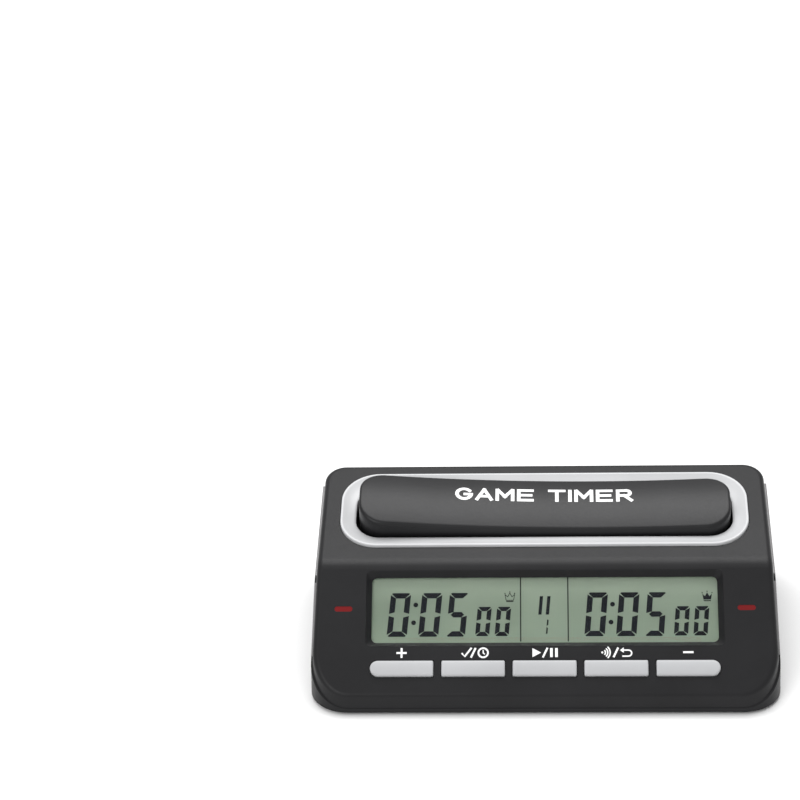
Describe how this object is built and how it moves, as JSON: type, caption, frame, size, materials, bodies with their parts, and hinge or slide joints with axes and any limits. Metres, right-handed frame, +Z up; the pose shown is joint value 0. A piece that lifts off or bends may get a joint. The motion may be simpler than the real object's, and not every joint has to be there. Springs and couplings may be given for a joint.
{
  "type": "chess clock",
  "caption": "Desk chess clock with a sloping two-sided display, a row of keys, indicator lights and a wide rocker in a pale trim ring that swaps the running side.",
  "frame": {"origin": "middle of the footprint on the table, under the rubber feet", "axes": "+X to the player's right along the width, +Y from the keys to the back, +Z up"},
  "size_m": [0.15, 0.09, 0.0476],
  "materials": {
    "case": "fine matte texture",
    "clear_window": "clear flat sheet",
    "lcd": "grey-green reflective display",
    "inner_black": "plain moulded",
    "rubber_pink": "conductive strip",
    "circuit_board": "solder mask",
    "epoxy": "smooth",
    "metal": "plain",
    "red_lens": "dark red, clear",
    "led": "small diode",
    "membrane": "silicone sheet",
    "screw_steel": "zinc plated",
    "silver": "satin silver-white",
    "rocker_black": "fine satin texture",
    "switch_body": "smooth",
    "plunger": "smooth",
    "battery_sleeve": "printed sleeve",
    "foot_rubber": "soft matte"
  },
  "bodies": {
    "case": {"top_cover": "case", "base_tub": "case", "display_window": "clear_window", "lcd_panel": "lcd", "lcd_frame": "inner_black", "lcd_contact_strip": "rubber_pink", "main_board": "circuit_board", "processor": "epoxy", "timing_crystal": "metal", "left_led_lens": "red_lens", "right_led_lens": "red_lens", "left_led": "led", "right_led": "led", "key_board": "circuit_board", "key_membrane": "membrane", "board_screws": "screw_steel", "trim_ring": "silver", "rocker_well": "inner_black", "well_screws": "screw_steel", "rocker_pin": "metal", "left_rocker_switch": "switch_body", "right_rocker_switch": "switch_body", "detent_spring": "metal", "battery_cradle": "inner_black", "battery": "battery_sleeve", "battery_plate": "metal", "battery_spring": "metal", "power_switch_body": "switch_body", "buzzer": "epoxy", "rubber_feet": "foot_rubber", "case_screws": "screw_steel"},
    "rocker": {"rocker_cap": "rocker_black"},
    "left_plunger": {"left_plunger": "plunger"},
    "right_plunger": {"right_plunger": "plunger"},
    "power_slide": {"power_switch_knob": "rocker_black"},
    "battery_door": {"battery_door": "case"},
    "key_plus": {"key_plus": "silver"},
    "key_select": {"key_select": "silver"},
    "key_start": {"key_start": "silver"},
    "key_sound": {"key_sound": "silver"},
    "key_minus": {"key_minus": "silver"}
  },
  "joints": [
    {"name": "rocker_pivot", "type": "hinge", "parent": "case", "child": "rocker", "pos_m": [0, 0.0164, 0.03215], "axis": [0, 0.9816, 0.1908], "range_deg": [-3.3, 0.7]},
    {"name": "key_plus_press", "type": "slide", "parent": "case", "child": "key_plus", "axis": [0, 0.6157, -0.788], "range_m": [0, 0.0006], "stiffness_N_per_m": 250},
    {"name": "key_select_press", "type": "slide", "parent": "case", "child": "key_select", "axis": [0, 0.6157, -0.788], "range_m": [0, 0.0006], "stiffness_N_per_m": 250},
    {"name": "key_start_press", "type": "slide", "parent": "case", "child": "key_start", "axis": [0, 0.6157, -0.788], "range_m": [0, 0.0006], "stiffness_N_per_m": 250},
    {"name": "key_sound_press", "type": "slide", "parent": "case", "child": "key_sound", "axis": [0, 0.6157, -0.788], "range_m": [0, 0.0006], "stiffness_N_per_m": 250},
    {"name": "key_minus_press", "type": "slide", "parent": "case", "child": "key_minus", "axis": [0, 0.6157, -0.788], "range_m": [0, 0.0006], "stiffness_N_per_m": 250},
    {"name": "left_plunger_follow", "type": "slide", "parent": "case", "child": "left_plunger", "axis": [0, -0.1908, 0.9816], "range_m": [-0.0024, 0.0006]},
    {"name": "right_plunger_follow", "type": "slide", "parent": "case", "child": "right_plunger", "axis": [0, -0.1908, 0.9816], "range_m": [-0.0006, 0.0024]},
    {"name": "power_switch_slide", "type": "slide", "parent": "case", "child": "power_slide", "axis": [1, 0, 0], "range_m": [0, 0.004]},
    {"name": "battery_door_off", "type": "slide", "parent": "case", "child": "battery_door", "axis": [0, 0, -1], "range_m": [0, 0.012]}
  ],
  "couplings": [
    {"joint": "left_plunger_follow", "follows": "rocker_pivot", "m_per_rad": 0.04},
    {"joint": "right_plunger_follow", "follows": "rocker_pivot", "m_per_rad": -0.04}
  ]
}
